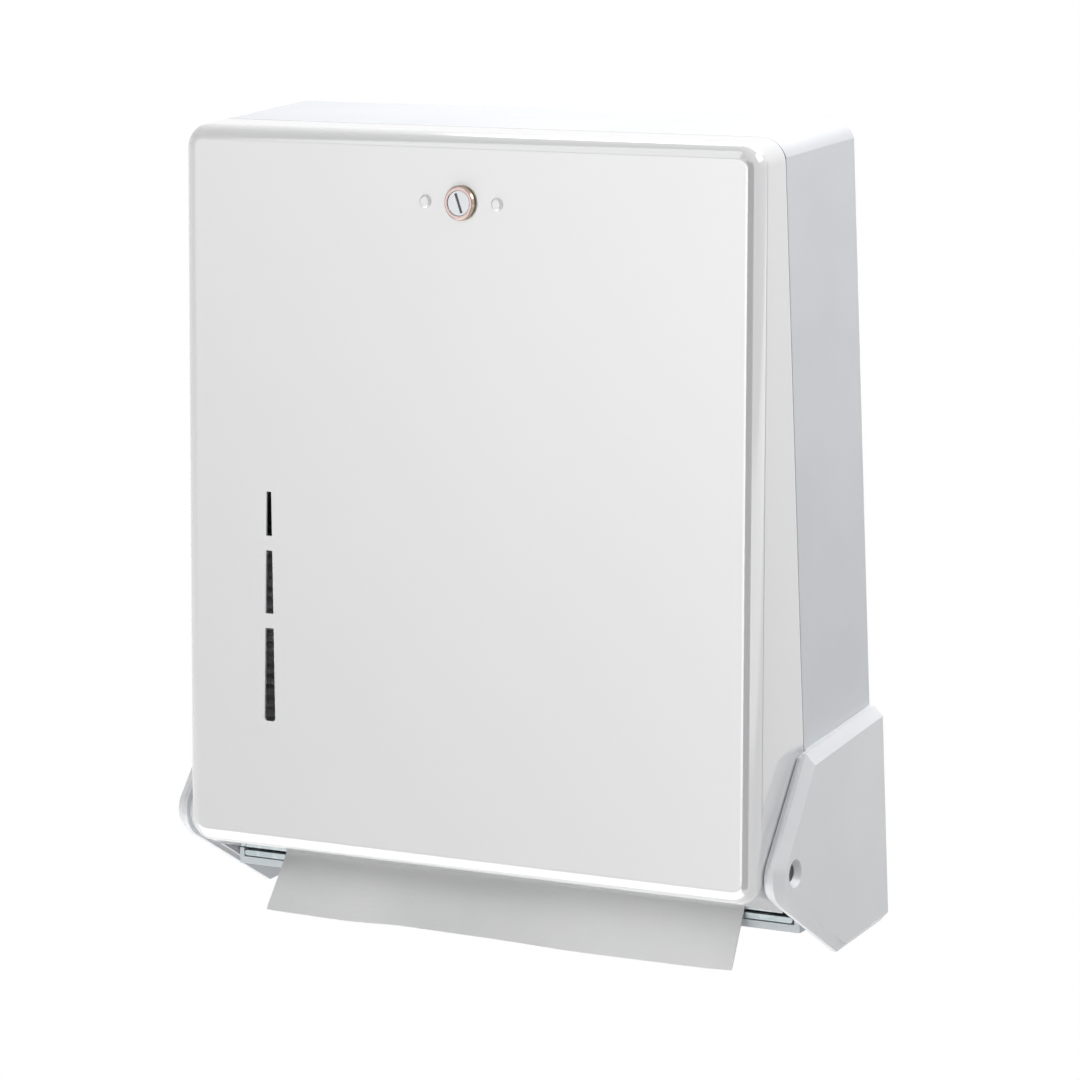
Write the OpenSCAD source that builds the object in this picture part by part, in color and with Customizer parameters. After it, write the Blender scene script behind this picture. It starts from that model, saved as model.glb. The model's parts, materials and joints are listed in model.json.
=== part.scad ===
// Wall dispenser for folded paper towels: a moulded cabinet, a hinged steel cover with a turn
// lock, and a trough with an adjustable throat. Millimetres, +Z up. The wall is the plane y = 0,
// the front faces -Y, and the origin is the centre of the wall screws.
// A name ending in _h is a height above a base level just under the cheek faces, one ending in
// _out is a distance out from the wall, and one ending in _ahead is a distance in front of the
// cabinet's front edge.

/* [Cabinet] */
// Width of the cabinet and of the cover
cabinet_w = 284.6; // [275:0.1:310]
// Height of the top
cabinet_h = 348; // [320:0.5:380]
// Depth of the cabinet's side walls
cabinet_out = 61.4; // [58:0.1:75]
// Moulded wall thickness
cabinet_wall = 3; // [2:0.1:4]
// Radius of the cover's corners
corner_r = 10.5; // [8.5:0.1:16]
// Radius of the cabinet's two top corners
top_corner_r = 11.2; // [9:0.1:16]
// How much of those corners the flat sides cut off, which leaves a crease
corner_cut = 0.4; // [0.2:0.1:0.8]
// Lower edge of the side walls
side_low_h = 12; // [10:0.5:16]
// Lower edge of the back wall
back_low_h = 4; // [2:0.5:10]
// How far the ribs on the back wall stand out
rib_rise = 3; // [1:0.1:4]
// Thickness of a rib
rib_t = 3; // [2:0.1:5]
// Spacing of the ribs
rib_pitch = 45; // [35:1:50]
// Gap between a rib and the trough's floor
rib_low_gap = 5; // [2:1:20]
// Gap between a rib and the top
rib_top_gap = 40; // [30:1:80]

/* [Wall screws] */
// Height of the centre of the screw pattern
pattern_h = 200; // [180:1:220]
// Hole spacing across
screw_pitch_x = 203.2; // [180:0.1:220]
// Hole spacing up
screw_pitch_z = 203.2; // [180:0.1:220]
// Hole diameter
wall_hole_dia = 5.5; // [4:0.1:7]

/* [Cheeks] */
// How far a cheek stands out from the cabinet's side at the wall
cheek_t = 6.3; // [5.5:0.1:9]
// How far a cheek leans out for each unit forward
cheek_splay = 0.037; // [0.03:0.001:0.05]
// Straight edge of a cheek below its bevel
cheek_rim = 2; // [1:0.1:2.5]
// How far the bevel steps in at the upper and lower corners
cheek_bevel = 4.6; // [3:0.1:6]
// How far the bevel steps in around the nose
nose_bevel = 2.7; // [2:0.1:5]
// Upper edge of the face at the wall
cheek_top_h = 89.9; // [84:0.1:96]
// Corner where the face turns down to the hinge
shoulder_h = 85.1; // [79:0.1:91]
// That corner, in front of the cabinet
shoulder_ahead = 7.1; // [4:0.1:10]
// Radius of the round nose
nose_r = 10.4; // [9.5:0.1:13]
// Centre of the nose below the hinge
nose_drop = 1.7; // [0:0.1:3]
// Lowest corner of the face, out from the wall
toe_out = 44.3; // [34:0.1:50]
// Height of that corner
toe_h = 1; // [0:0.1:3]
// Edge of the wedge behind a cheek, inside the cheek's edge
wedge_inset = 0.6; // [0.3:0.1:1]
// Lower front corner of that wedge, below the hinge
wedge_drop = 19; // [16:0.5:22]
// Lower edge of the face at the wall
heel_h = 2.2; // [0:0.1:6]
// Edge of the thicker part beside the cover, inside the cheek's edge
land_inset = 2; // [1:0.1:3]
// Gap between that part and the cover's side
land_gap = 0.6; // [0.4:0.1:1]
// Back screw of a cheek: behind the cabinet's front edge, and below the face's upper edge
cheek_back_screw = [49, 12];
// Front screw of a cheek: behind the cabinet's front edge, and below the face's upper edge
cheek_front_screw = [11, 16];

/* [Cover] */
// Sheet steel thickness
sheet_t = 1; // [0.8:0.1:1.5]
// Front face at the top
cover_ahead = 21.9; // [20:0.1:28]
// How far the front face leans out for each unit down
face_slope = 0.086; // [0.05:0.002:0.1]
// Radius of the rolled front edges
edge_r = 7; // [5:0.1:8]
// Gap between the cover and the cabinet
seam_gap = 0.5; // [0.3:0.1:1]
// Where the face turns under, below the hinge
turn_drop = 4.6; // [2:0.1:7]
// Slope of the lower lip
lip_angle = 22; // [18:1:26]
// Length of the lower lip
lip_len = 22; // [16:0.5:23]
// Lower end of the side's back edge, above the hinge
flank_rise = 41.5; // [36:0.1:46]
// Radius of the side around the hinge
ear_r = 14; // [13:0.1:15.5]

/* [Level slots] */
// Top of the upper slot
level_top_h = 190.6; // [180:0.1:220]
// Heights of the slots, from the top
level_slots = [19.3, 27.7, 41];
// Metal left between two slots
level_bridge = 6.4; // [4:0.1:10]
// Width at the top of the upper slot
level_top_w = 2.4; // [2:0.1:4]
// Width at the bottom of the lowest slot
level_low_w = 5.6; // [4:0.1:8]
// Centre of the slots from the middle of the cover
level_x = -97.7; // [-115:0.1:-60]

/* [Hinge] */
// Hinge axis in front of the cabinet
pivot_ahead = 29.2; // [28:0.1:31]
// Height of the hinge axis
pivot_h = 44.2; // [42:0.1:47]
// Pin diameter
pin_dia = 7.9; // [5:0.1:9]
// Running clearance around the pin
pin_fit = 0.05; // [0.02:0.01:0.1]
// Depth of the pin's end below the cheek face
pin_recess = 2.8; // [1:0.1:3.5]
// Width of the countersink around the pin
sink_w = 2; // [1:0.1:3]
// Diameter of the pin's head
pin_head_dia = 13; // [11:0.1:15]
// Thickness of the pin's head
pin_head_t = 2; // [1:0.1:3]

/* [Lock] */
// Lock axis below the top
lock_drop = 28.8; // [27:0.1:36]
// Rim diameter
rim_dia = 15; // [14.5:0.1:18]
// Rim thickness
rim_t = 2.4; // [2:0.1:4]
// Chamfer of the rim's edge
rim_chamfer = 0.8; // [0.3:0.1:1]
// Barrel diameter
barrel_dia = 12; // [11.8:0.1:13]
// Barrel length behind the face
barrel_len = 16.3; // [14:0.1:18]
// Diameter of the turning plug
plug_dia = 9.3; // [8.8:0.1:9.6]
// Running clearance around the plug
plug_fit = 0.05; // [0.02:0.01:0.1]
// Diameter of the plug's front shoulder
plug_front_dia = 10.6; // [10.3:0.1:11]
// Length of the plug's front shoulder
plug_front_t = 1.2; // [0.8:0.1:1.5]
// Width of the plug's square tail
tail_w = 6; // [5.5:0.1:6.4]
// Length, width and depth of the key slot
key_slot = [8.7, 1.1, 1.2];
// Tilt of the key slot from upright
key_tilt = 20; // [0:1:45]
// Reach of the latch cam
cam_reach = 20; // [18:0.1:21]
// Width of the latch cam
cam_w = 9; // [7:0.1:11]
// Thickness of the latch cam
cam_t = 2; // [1.5:0.1:2.5]
// Metal around the cam's square hole
cam_eye = 3.5; // [2.5:0.1:4]
// Washer behind the cam: width beyond the tail, and thickness
cam_washer_size = [3, 0.8];
// How far the cam's screw goes into the tail
cam_screw_len = 7; // [5:0.1:9]
// Width of the slot in the cam's screw
driver_slot = 1; // [0.8:0.1:1.4]
// Width across the flats of the lock nut
nut_flats = 17; // [15:0.1:19]
// Thickness of the lock nut
nut_t = 3.5; // [2.5:0.1:5]
// Width, height and thickness of the backing plate
backing = [48, 20, 1.2];
// Spacing of the two rivets beside the lock
rivet_pitch = 35.3; // [30:0.1:40]
// Rivet shank diameter
rivet_dia = 3.2; // [2.5:0.1:4]
// Rivet head diameter
rivet_head_dia = 6; // [5:0.1:7]
// Rivet head height
rivet_head_t = 0.9; // [0.5:0.1:1.5]
// Diameter of the flat on top of a rivet head
rivet_flat_dia = 4.2; // [3:0.1:4.8]
// Height of a rivet's closed end
rivet_tail_t = 1; // [0.8:0.1:1.5]

/* [Strike] */
// Width of the strike
strike_w = 28; // [24:0.5:34]
// Metal thickness of the strike
strike_t = 1.5; // [1:0.1:2]
// Lower edge of the strike above the lock axis
strike_rise = 12.5; // [11.5:0.1:14]
// Gap between the strike and the turned cam
strike_gap = 0.5; // [0.3:0.1:0.8]
// Thickness of the moulded pad that carries the strike
pad_t = 3; // [2:0.1:3.5]
// Back of that pad, behind the cabinet's front edge
pad_len = 20; // [16:0.5:26]
// Front of that pad, behind the cabinet's front edge
pad_step = 3; // [1:0.5:5]
// Width of the pad beyond the strike, each side
pad_margin = 2; // [1:0.5:4]
// Strike screws from the strike's edges
strike_screw_edge = 6; // [5:0.5:8]
// Strike screw diameter
strike_screw_dia = 3; // [2.5:0.1:3.5]
// How far a strike screw goes into the pad
strike_screw_bite = 4; // [3:0.1:4.5]

/* [Trough] */
// Floor above the hinge axis
floor_rise = 0.8; // [0.4:0.1:3]
// Moulded wall thickness
trough_wall = 2.5; // [2:0.1:3]
// Front of the chute, in front of the cabinet
chute_ahead = 1.1; // [0.5:0.1:2]
// Where the chute starts to slope, below the floor
knee_drop = 13.5; // [10:0.1:15]
// Rounding where the floor turns into the chute
chute_edge = 1.5; // [1:0.1:2]
// End of the chute, behind the front of the shelf
chute_tip_back = 1.4; // [1:0.1:2]
// End of the chute, above the throat plate's rolled edge
chute_tip_gap = 1.5; // [1:0.1:2]
// Thickness of the chute at its end
chute_tip_t = 1.2; // [0.8:0.1:1.6]
// Top of the shelf below the hinge axis
shelf_drop = 29.6; // [28.6:0.1:31.5]
// Front of the shelf, in front of the cabinet
shelf_ahead = 8.6; // [7.5:0.1:9]
// Thickness of the shelf
shelf_t = 3.3; // [2.5:0.1:4]
// Back of the shelf, out from the wall
web_out = 40; // [34:0.5:41]
// Height of the posts at the ends of the shelf
post_rise = 4; // [3.5:0.1:4.5]
// Width of a post
post_w = 2.5; // [2:0.1:3]
// Ends of the shelf from the cabinet's sides
post_inset = 0.2; // [0.1:0.1:1]
// Back of the posts, in front of the cabinet
post_ahead = 4; // [3:0.1:5]
// Height of the towel guides above the floor
guide_rise = 45; // [20:1:80]
// Thickness of a towel guide
guide_t = 2; // [1.5:0.1:3]
// Room between the towels and a guide
guide_room = 2; // [1:0.1:4]
// Front of the guides, behind the cabinet's front edge
guide_front = 4; // [2:0.5:8]
// Back of the guides, out from the wall
guide_back_out = 12; // [8:0.5:20]
// Back screw of the trough: in front of its web, and below the hinge axis
trough_back_screw = [7.5, 21.5];
// Front screw of the trough: behind the cabinet's front edge, and below the hinge axis
trough_front_screw = [6, 8.5];

/* [Throat plate] */
// Sheet thickness
plate_t = 1.2; // [0.8:0.1:1.5]
// Height of the rolled front edge
hem_h = 2.6; // [2:0.1:3]
// Depth of the rolled front edge
hem_deep = 2.8; // [2:0.1:3]
// How far the rolled edge stands in front of the shelf
hem_proud = 0.5; // [0.2:0.1:0.8]
// Gap below the plate
plate_gap = 0.7; // [0.3:0.1:0.9]
// Depth of the plate
plate_deep = 20; // [18:0.5:22]
// Travel of the plate towards the wall
plate_travel = 5; // [3:0.5:5]
// Guide screws from the middle of the plate
plate_screw_x = 90; // [60:1:120]
// Guide screws behind the cabinet's front edge
plate_screw_back = 3.4; // [2:0.1:4]

/* [Towels] */
// Width of a towel
towel_w = 234; // [228:0.5:240]
// Depth of a folded towel
fold_deep = 79; // [74:0.5:84]
// Top of the stack
stack_top_h = 165; // [100:1:300]
// Folded towels in the stack
fold_count = 24; // [12:1:40]
// How far each fold bulges
fold_bulge = 0.8; // [0.3:0.1:1.5]
// Thickness of the hanging towel
towel_t = 0.8; // [0.5:0.1:1]
// Gap between the hanging towel and what it runs over
towel_gap = 0.5; // [0.3:0.1:0.8]
// Length of the towel that hangs out
tail_len = 29; // [15:1:32]
// How far the towel that hangs out points down
tail_angle = 45; // [40:1:60]
// How far the hanging towel waves
tail_wave = 1.4; // [0:0.1:2]
// Long wave along the free edge: turns across the towel, and start in degrees
long_wave = [0.8, 30];
// Short wave along the free edge: turns across the towel, start in degrees, and share of the long one
short_wave = [2.1, -50, 0.4];
// How late the wave grows towards the free edge
wave_growth = 1.5; // [1:0.1:2]

/* [Fasteners] */
// Screw diameter
screw_dia = 4; // [3:0.1:4.5]
// Screw head diameter
screw_head_dia = 8; // [6:0.1:9]
// Screw head thickness
screw_head_t = 2; // [1.2:0.1:2.5]
// How far a screw goes into a cheek
screw_bite = 4; // [3:0.1:5]
// Clearance around a fastener, per side
fastener_fit = 0.1; // [0.05:0.01:0.2]
// Clearance between seated pieces
seat_gap = 0.1; // [0.05:0.01:0.2]
// Clearance around what is dropped into place
loose_gap = 0.5; // [0.4:0.05:0.8]

/* [Hidden] */
$fn = 64;
hull_fn = 32;
cut = 1;
thin = 0.01;

cabinet_half = cabinet_w / 2;
inner_half = cabinet_half - cabinet_wall;
cheek_x = cabinet_half + cheek_t;
pin_face_x = cheek_x + cheek_splay * (cabinet_out + pivot_ahead);
face_lean = atan(face_slope);
cover_back_out = cabinet_out + seam_gap;
cover_top_out = cabinet_out + cover_ahead;
pivot_out = cabinet_out + pivot_ahead;
turn_h = pivot_h - turn_drop;
lock_h = cabinet_h - lock_drop;
floor_h = pivot_h + floor_rise;
shelf_h = pivot_h - shelf_drop;
shelf_out = cabinet_out + shelf_ahead;
chute_out = cabinet_out + chute_ahead;
chute_tip_out = shelf_out - chute_tip_back;
hem_out = shelf_out + hem_proud;
hem_low_h = shelf_h + plate_gap;
hem_top_h = hem_low_h + hem_h;
chute_tip_h = hem_top_h + chute_tip_gap;
post_x = cabinet_half - post_inset;
post_inner_x = post_x - post_w;
trough_half = inner_half - loose_gap;
stack_back_out = cabinet_wall + rib_rise + loose_gap;
upper_screws = [for (spot = [cheek_back_screw, cheek_front_screw])
    [cabinet_out - spot[0], cheek_top_h - spot[1]]];
trough_screw_spots = [
    [web_out + trough_back_screw[0], pivot_h - trough_back_screw[1]],
    [cabinet_out - trough_front_screw[0], pivot_h - trough_front_screw[1]]
];
plate_screw_out = cabinet_out - plate_screw_back;
plate_slot_w = screw_dia + 4 * fastener_fit;
strike_screw_x = strike_w / 2 - strike_screw_edge;
strike_screw_out = cabinet_out - (pad_len + pad_step) / 2;
under_pad_h = cabinet_h - cabinet_wall - pad_t;
backing_back = -sheet_t - seat_gap - backing[2];
cam_front = -barrel_len - 2 * seat_gap;
cam_back = cam_front - cam_t;
washer_t = cam_washer_size[1];

// Height above the datum, as a Z coordinate
function up(h) = h - pattern_h;
// Y coordinate of the cover's outer face at a height
function face_y(h) = -(cover_top_out + face_slope * (cabinet_h - h));
// Y and Z of a point beside the lock: v up along the face and w out of it
function lock_point(v, w) = [
    face_y(lock_h) + v * sin(face_lean) - w * cos(face_lean),
    up(lock_h) + v * cos(face_lean) + w * sin(face_lean)
];

// Extrudes an outline drawn in X and Z, between two distances out from the wall
module between(near_out, far_out) {
    translate([0, -near_out, 0]) rotate([90, 0, 0]) linear_extrude(far_out - near_out) children();
}

// Extrudes an outline drawn in Y and Z, between two places along X
module along_x(x0, x1) {
    translate([x0, 0, 0]) rotate([90, 0, 90]) linear_extrude(x1 - x0) children();
}

// Cylinder along X
module rod_x(x0, x1, dia, out, h) {
    translate([x0, -out, up(h)]) rotate([0, 90, 0]) cylinder(h = x1 - x0, d = dia);
}

// Frame of the lock: +Z out of the cover's face, +Y up along it
module at_lock() {
    translate([0, face_y(lock_h), up(lock_h)]) rotate([90 - face_lean, 0, 0]) children();
}

// Disc or tube in the lock's frame, between two distances out of the face
module lock_round(w0, w1, dia) {
    translate([0, 0, w0]) cylinder(h = w1 - w0, d = dia);
}

module both_sides() {
    children();
    mirror([1, 0, 0]) children();
}

// Outline with two round upper corners
module arch_2d(half, low, top, r) {
    translate([-half, low]) square([2 * half, top - low - r]);
    translate([-half + r, low]) square([2 * half - 2 * r, top - low]);
    for (side = [-1, 1]) translate([side * (half - r), top - r]) circle(r);
}

module cabinet_shell() {
    color("#c3c5c9") difference() {
        union() {
            difference() {
                between(0, cabinet_out) intersection() {
                    arch_2d(cabinet_half + corner_cut, up(back_low_h), up(cabinet_h), top_corner_r);
                    translate([-cabinet_half, up(back_low_h)]) square([cabinet_w, cabinet_h]);
                }
                between(cabinet_wall, cabinet_out + cut)
                    arch_2d(inner_half, up(back_low_h) - cut, up(cabinet_h) - cabinet_wall,
                        top_corner_r - cabinet_wall);
                between(cabinet_wall, cabinet_out + cut)
                    translate([-cabinet_half - cut, up(back_low_h) - cut])
                        square([cabinet_w + 2 * cut, side_low_h - back_low_h + cut]);
            }
            for (place = [-1.5:1:1.5])
                between(cabinet_wall - cut, cabinet_wall + rib_rise)
                    translate([place * rib_pitch - rib_t / 2, up(floor_h + rib_low_gap)])
                        square([rib_t, cabinet_h - floor_h - rib_low_gap - rib_top_gap]);
            between(cabinet_out - pad_len, cabinet_out - pad_step)
                translate([-strike_w / 2 - pad_margin, up(under_pad_h)])
                    square([strike_w + 2 * pad_margin, pad_t + cut]);
        }
        for (x = [-1, 1], z = [-1, 1])
            translate([x * screw_pitch_x / 2, cut, z * screw_pitch_z / 2])
                rotate([90, 0, 0]) cylinder(h = cabinet_wall + 2 * cut, d = wall_hole_dia);
        both_sides() for (spot = concat(upper_screws, trough_screw_spots))
            rod_x(inner_half - cut, cabinet_half + cut, screw_dia + 2 * fastener_fit, spot[0], spot[1]);
        for (side = [-1, 1])
            translate([side * strike_screw_x, -strike_screw_out, up(under_pad_h) - cut])
                cylinder(h = cut + strike_screw_bite + cut, d = strike_screw_dia + 2 * fastener_fit);
    }
}

// Outline of a cheek in Y and Z: its flat face, or its wider base with the steps of the bevel added
module cheek_2d(corner_step, nose_step) {
    hull() {
        translate([-pivot_out, up(pivot_h - nose_drop)]) circle(nose_r + nose_step, $fn = hull_fn);
        polygon([
            [0, up(cheek_top_h + corner_step)],
            [-(cabinet_out + shoulder_ahead), up(shoulder_h + corner_step)],
            [-toe_out, up(toe_h - corner_step)], [0, up(heel_h - corner_step)]
        ]);
    }
}

// Outline of the thicker part beside the cover, in front of the cabinet
module cheek_land_2d() {
    intersection() {
        cheek_2d(cheek_bevel - land_inset, nose_bevel - land_inset);
        translate([-2 * pivot_out, up(0)]) square([2 * pivot_out - cover_back_out, cabinet_h]);
    }
}

// Outline of the wedge between the leaning cheek and the cabinet's side
module cheek_wedge_2d() {
    front_out = cabinet_out - wedge_inset;
    step = cheek_bevel - wedge_inset;
    polygon([
        [-wedge_inset, up(cheek_top_h + step)], [-front_out, up(shoulder_h + step)],
        [-front_out, up(pivot_h - wedge_drop)], [-toe_out, up(side_low_h)],
        [-wedge_inset, up(side_low_h)]
    ]);
}

// Leans a cheek out from the cabinet's side
module splay() {
    multmatrix([[1, -cheek_splay, 0, 0], [0, 1, 0, 0], [0, 0, 1, 0]]) children();
}

module cheek() {
    bore = pin_dia + 2 * pin_fit;
    sink_h = pin_recess + cut;
    nose_out = pivot_out + nose_r + nose_bevel;
    land_end_x = cabinet_half + cheek_splay * nose_out + cheek_rim / 2;
    difference() {
        union() {
            splay() hull() {
                along_x(cheek_x - thin, cheek_x) cheek_2d(0, 0);
                along_x(cabinet_half, cabinet_half + cheek_rim) cheek_2d(cheek_bevel, nose_bevel);
            }
            hull() {
                along_x(cabinet_half, cabinet_half + thin) cheek_wedge_2d();
                splay() along_x(cabinet_half, cabinet_half + cheek_rim / 2) cheek_wedge_2d();
            }
            along_x(cabinet_half + land_gap, land_end_x) cheek_land_2d();
        }
        rod_x(cabinet_half, pin_face_x + cut, bore, pivot_out, pivot_h);
        translate([pin_face_x - pin_recess, -pivot_out, up(pivot_h)]) rotate([0, 90, 0])
            cylinder(h = sink_h, d1 = bore, d2 = bore + 2 * sink_w * sink_h / pin_recess);
        for (spot = concat(upper_screws, trough_screw_spots))
            rod_x(cabinet_half - cut, cabinet_half + screw_bite + seat_gap,
                screw_dia + 2 * fastener_fit, spot[0], spot[1]);
    }
}

module right_cheek() {
    color("#c8cacd") cheek();
}

module left_cheek() {
    color("#c8cacd") mirror([1, 0, 0]) cheek();
}

// Screw along X from inside the cabinet, with its head against a face at head_x
module side_screw(head_x, spot) {
    rod_x(head_x - screw_head_t - seat_gap, head_x - seat_gap, screw_head_dia, spot[0], spot[1]);
    rod_x(head_x - screw_head_t, cabinet_half + screw_bite, screw_dia, spot[0], spot[1]);
}

module cheek_screws() {
    color("silver") both_sides() for (spot = upper_screws) side_screw(inner_half, spot);
}

module trough_screws() {
    color("silver") both_sides()
        for (spot = trough_screw_spots) side_screw(trough_half - trough_wall, spot);
}

module towel_trough() {
    end_half = trough_half - trough_wall;
    guide_x = towel_w / 2 + guide_room;
    floor_out = chute_out - trough_wall;
    floor_back_out = cabinet_wall + loose_gap;
    end_out = cabinet_out - loose_gap;
    color("#b9c1c6") difference() {
        union() {
            // Floor, chute and back web
            along_x(-end_half - cut, end_half + cut) polygon([
                [-floor_back_out, up(floor_h)],
                [-chute_out + chute_edge, up(floor_h)],
                [-chute_out, up(floor_h) - chute_edge],
                [-chute_out, up(floor_h - knee_drop)],
                [-chute_tip_out, up(chute_tip_h) + chute_tip_t / 2],
                [-chute_tip_out + chute_tip_t, up(chute_tip_h)],
                [-floor_out, up(floor_h - knee_drop) + chute_tip_t / 2],
                [-floor_out, up(floor_h) - trough_wall],
                [-floor_back_out, up(floor_h) - trough_wall]
            ]);
            along_x(-end_half - cut, end_half + cut)
                translate([-web_out - trough_wall, up(shelf_h) - shelf_t])
                    square([trough_wall, floor_h - shelf_h + shelf_t]);
            // Shelf, wider in front of the cabinet's side walls
            along_x(-end_half - cut, end_half + cut)
                translate([-shelf_out, up(shelf_h) - shelf_t]) square([shelf_out - web_out, shelf_t]);
            along_x(-post_x, post_x)
                translate([-shelf_out, up(shelf_h) - shelf_t])
                    square([shelf_out - cabinet_out - loose_gap, shelf_t]);
            both_sides() {
                // End plate against the cabinet's side wall
                along_x(end_half, trough_half)
                    translate([-end_out, up(shelf_h) - shelf_t])
                        square([end_out - web_out, floor_h - shelf_h + shelf_t]);
                // Post at the end of the shelf
                along_x(post_inner_x, post_x)
                    translate([-shelf_out, up(shelf_h) - cut])
                        square([shelf_out - cabinet_out - post_ahead, post_rise + cut]);
                // Towel guide on the floor
                along_x(guide_x, guide_x + guide_t)
                    translate([-(cabinet_out - guide_front), up(floor_h) - cut])
                        square([cabinet_out - guide_front - guide_back_out, guide_rise + cut]);
            }
        }
        both_sides() for (spot = trough_screw_spots)
            rod_x(end_half - cut, trough_half + cut, screw_dia + 2 * fastener_fit, spot[0], spot[1]);
        for (side = [-1, 1])
            translate([side * plate_screw_x, -plate_screw_out, up(shelf_h) - shelf_t - cut])
                cylinder(h = shelf_t + 2 * cut, d = screw_dia + 2 * fastener_fit);
    }
}

// Bar along X with round ends in the front view
module round_bar(half, near_out, far_out, low_z, height) {
    between(near_out, far_out) {
        translate([-half + height / 2, low_z]) square([2 * half - height, height]);
        for (side = [-1, 1])
            translate([side * (half - height / 2), low_z + height / 2]) circle(d = height);
    }
}

module throat_plate() {
    plate_half = trough_half - trough_wall - loose_gap;
    color("#cfd6d8") difference() {
        union() {
            round_bar(post_inner_x - loose_gap, hem_out - hem_deep, hem_out, up(hem_low_h), hem_h);
            translate([-plate_half, -(hem_out - hem_deep / 2), up(hem_low_h)])
                cube([2 * plate_half, plate_deep - hem_deep / 2, plate_t]);
        }
        for (side = [-1, 1], shift = [0, 1])
            translate([side * plate_screw_x, -plate_screw_out - shift * plate_travel, up(shelf_h)])
                cylinder(h = plate_gap + plate_t + cut, d = plate_slot_w);
        for (side = [-1, 1])
            translate([side * plate_screw_x - plate_slot_w / 2,
                    -plate_screw_out - plate_travel, up(shelf_h)])
                cube([plate_slot_w, plate_travel, plate_gap + plate_t + cut]);
    }
}

// Shoulder screws that hold the plate down and let it slide
module throat_screws() {
    head_z = up(hem_low_h) + plate_t + 2 * seat_gap;
    color("silver") for (side = [-1, 1]) translate([side * plate_screw_x, -plate_screw_out, 0]) {
        translate([0, 0, head_z]) cylinder(h = screw_head_t, d = screw_head_dia);
        translate([0, 0, up(shelf_h) - shelf_t])
            cylinder(h = head_z + cut - up(shelf_h) + shelf_t, d = screw_dia);
        translate([0, 0, up(shelf_h) + seat_gap])
            cylinder(h = plate_gap - 2 * seat_gap, d = screw_head_dia);
    }
}

module strike() {
    leaf = lock_point(strike_rise, cam_front);
    rear_y = leaf[0] - strike_gap;
    under_z = up(under_pad_h);
    color("silver") difference() {
        union() {
            translate([-strike_w / 2, rear_y - strike_t, leaf[1]])
                cube([strike_w, strike_t, under_z - leaf[1]]);
            translate([-strike_w / 2, rear_y - strike_t, under_z - strike_t])
                cube([strike_w, -(cabinet_out - pad_len) - rear_y + strike_t, strike_t]);
        }
        for (side = [-1, 1])
            translate([side * strike_screw_x, -strike_screw_out, under_z - strike_t - cut])
                cylinder(h = strike_t + 2 * cut, d = strike_screw_dia + 2 * fastener_fit);
    }
}

module strike_screws() {
    under_z = up(under_pad_h) - strike_t;
    color("silver") for (side = [-1, 1]) translate([side * strike_screw_x, -strike_screw_out, under_z]) {
        translate([0, 0, -screw_head_t - seat_gap]) cylinder(h = screw_head_t, d = 2 * strike_screw_dia);
        translate([0, 0, -screw_head_t])
            cylinder(h = screw_head_t + strike_t + strike_screw_bite, d = strike_screw_dia);
    }
}

// Ring at a front corner of the cover, whose tube is the rolled edge
module corner_ring(half, centre, tube_r) {
    for (side = [-1, 1])
        translate([side * (half - corner_r), centre[0], centre[1]]) rotate([90 - face_lean, 0, 0])
            rotate_extrude($fn = hull_fn) intersection() {
                translate([corner_r - edge_r, 0]) circle(tube_r, $fn = hull_fn);
                translate([0, -edge_r]) square([corner_r, 2 * edge_r]);
            }
}

// Convex body of the cover, drawn in by inset. The one drawn in runs on past the back.
module cover_body(inset, run_on) {
    tube_r = edge_r - inset;
    ring_r = corner_r - edge_r;
    in_y = cos(face_lean);
    in_z = sin(face_lean);
    top_z = up(cabinet_h) - ring_r * cos(face_lean) - edge_r;
    top_h = top_z + pattern_h;
    top_ring = [face_y(top_h) + edge_r / in_y, top_z];
    low_ring = turn_centre + ring_r * [in_z, in_y];
    reach = lip_len + run_on;
    hull() {
        corner_ring(cabinet_half, top_ring, tube_r);
        corner_ring(cabinet_half, low_ring, tube_r);
        for (side = [-1, 1])
            translate([side * (cabinet_half - corner_r), -cover_back_out + run_on, up(cabinet_h) - corner_r])
                rotate([90, 0, 0]) cylinder(h = thin, r = corner_r - inset, $fn = hull_fn);
        along_x(-cabinet_half + inset, cabinet_half - inset) {
            translate([-pivot_out, up(pivot_h)]) circle(ear_r, $fn = hull_fn);
            polygon([
                lip_point(reach, inset), lip_point(reach - thin, inset), lip_point(reach, inset + thin)
            ]);
            translate([-cover_back_out + run_on - thin, up(pivot_h + flank_rise)]) square(thin);
        }
    }
}

// Centre of the arc that turns the face under
turn_centre = [
    face_y(turn_h) + edge_r * cos(face_lean), up(turn_h) - edge_r * sin(face_lean)
];
// Point on the lower lip: len along it, and depth in from its outer side
function lip_point(len, depth) = turn_centre
    + (edge_r - depth) * [-sin(lip_angle), -cos(lip_angle)] + len * [cos(lip_angle), -sin(lip_angle)];

// Height of the top of a level slot, and the width of the slots at a height
function slot_top(i) = i == 0 ? level_top_h : slot_top(i - 1) - level_slots[i - 1] - level_bridge;
level_low_h = slot_top(len(level_slots) - 1) - level_slots[len(level_slots) - 1];
function slot_w(h) = level_low_w
    + (level_top_w - level_low_w) * (h - level_low_h) / (level_top_h - level_low_h);

module level_slot_2d(top, low, round_end) {
    end_r = round_end ? slot_w(low) / 2 : 0;
    polygon([
        [-slot_w(top) / 2, up(top)], [slot_w(top) / 2, up(top)],
        [slot_w(low) / 2, up(low) + end_r], [-slot_w(low) / 2, up(low) + end_r]
    ]);
    if (round_end) translate([0, up(low) + end_r]) circle(end_r);
}

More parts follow.
